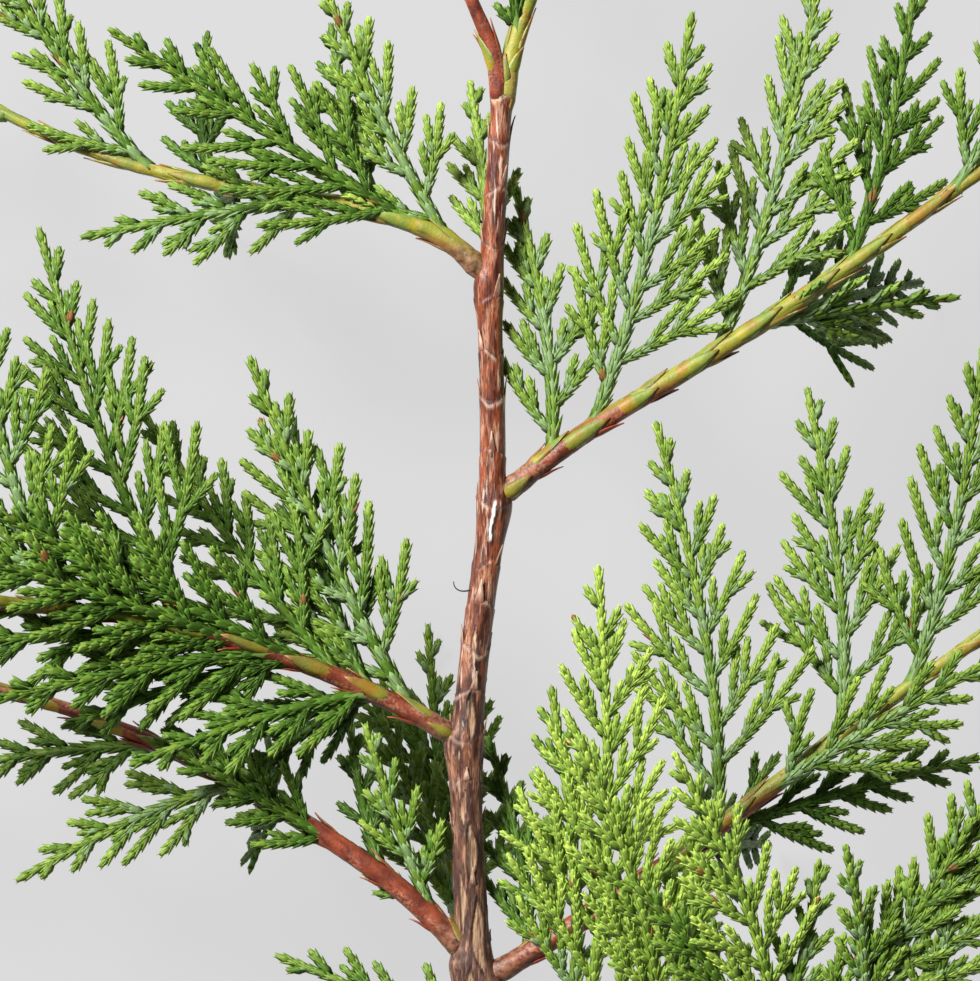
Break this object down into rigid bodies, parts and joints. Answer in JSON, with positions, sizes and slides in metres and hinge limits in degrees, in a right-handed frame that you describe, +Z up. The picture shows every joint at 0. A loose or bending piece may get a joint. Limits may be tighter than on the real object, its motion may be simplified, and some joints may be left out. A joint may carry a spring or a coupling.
{
  "type": "leyland cypress leading shoot",
  "caption": "Cut leading shoot of leyland cypress lying on its side: a red-brown forked stem, green and brown side boughs, and flat ferny sprays of scale leaves.",
  "frame": {"origin": "on the floor, under the middle of the shoot's bounding box", "axes": "+Z up from the floor, +Y along the stem from its cut end towards its tips, +X to the right seen from above"},
  "size_m": [0.2604, 0.2476, 0.0944],
  "materials": {
    "bark": "fibrous, matt",
    "young_bark": "smooth, satin",
    "foliage": "satin"
  },
  "bodies": {
    "root": {"bough_back": "young_bark", "bough_front_right": "young_bark", "bough_lower_left": "young_bark", "bough_lower_right": "young_bark", "bough_middle_left": "young_bark", "bough_upper_left": "young_bark", "bough_upper_right": "young_bark", "leader": "young_bark", "side_shoot": "young_bark", "spray_back_1": "foliage", "spray_front_right_1": "foliage", "spray_front_right_2": "foliage", "spray_front_right_3": "foliage", "spray_front_right_4": "foliage", "spray_front_right_5": "foliage", "spray_leader_1": "foliage", "spray_leader_2": "foliage", "spray_lower_left_1": "foliage", "spray_lower_left_2": "foliage", "spray_lower_left_3": "foliage", "spray_lower_left_4": "foliage", "spray_lower_left_5": "foliage", "spray_lower_left_6": "foliage", "spray_lower_left_7": "foliage", "spray_lower_right_1": "foliage", "spray_lower_right_2": "foliage", "spray_lower_right_3": "foliage", "spray_lower_right_4": "foliage", "spray_lower_right_5": "foliage", "spray_lower_right_6": "foliage", "spray_lower_right_7": "foliage", "spray_lower_right_8": "foliage", "spray_middle_left_1": "foliage", "spray_middle_left_2": "foliage", "spray_middle_left_3": "foliage", "spray_middle_left_4": "foliage", "spray_middle_left_5": "foliage", "spray_middle_left_6": "foliage", "spray_middle_left_7": "foliage", "spray_middle_left_8": "foliage", "spray_middle_left_9": "foliage", "spray_side_shoot_1": "foliage", "spray_stem_1": "foliage", "spray_stem_2": "foliage", "spray_upper_left_1": "foliage", "spray_upper_left_2": "foliage", "spray_upper_left_3": "foliage", "spray_upper_left_4": "foliage", "spray_upper_left_5": "foliage", "spray_upper_left_6": "foliage", "spray_upper_left_7": "foliage", "spray_upper_left_8": "foliage", "spray_upper_right_1": "foliage", "spray_upper_right_2": "foliage", "spray_upper_right_3": "foliage", "spray_upper_right_4": "foliage", "spray_upper_right_5": "foliage", "spray_upper_right_6": "foliage", "spray_upper_right_7": "foliage", "stem": "bark"}
  },
  "joints": []
}
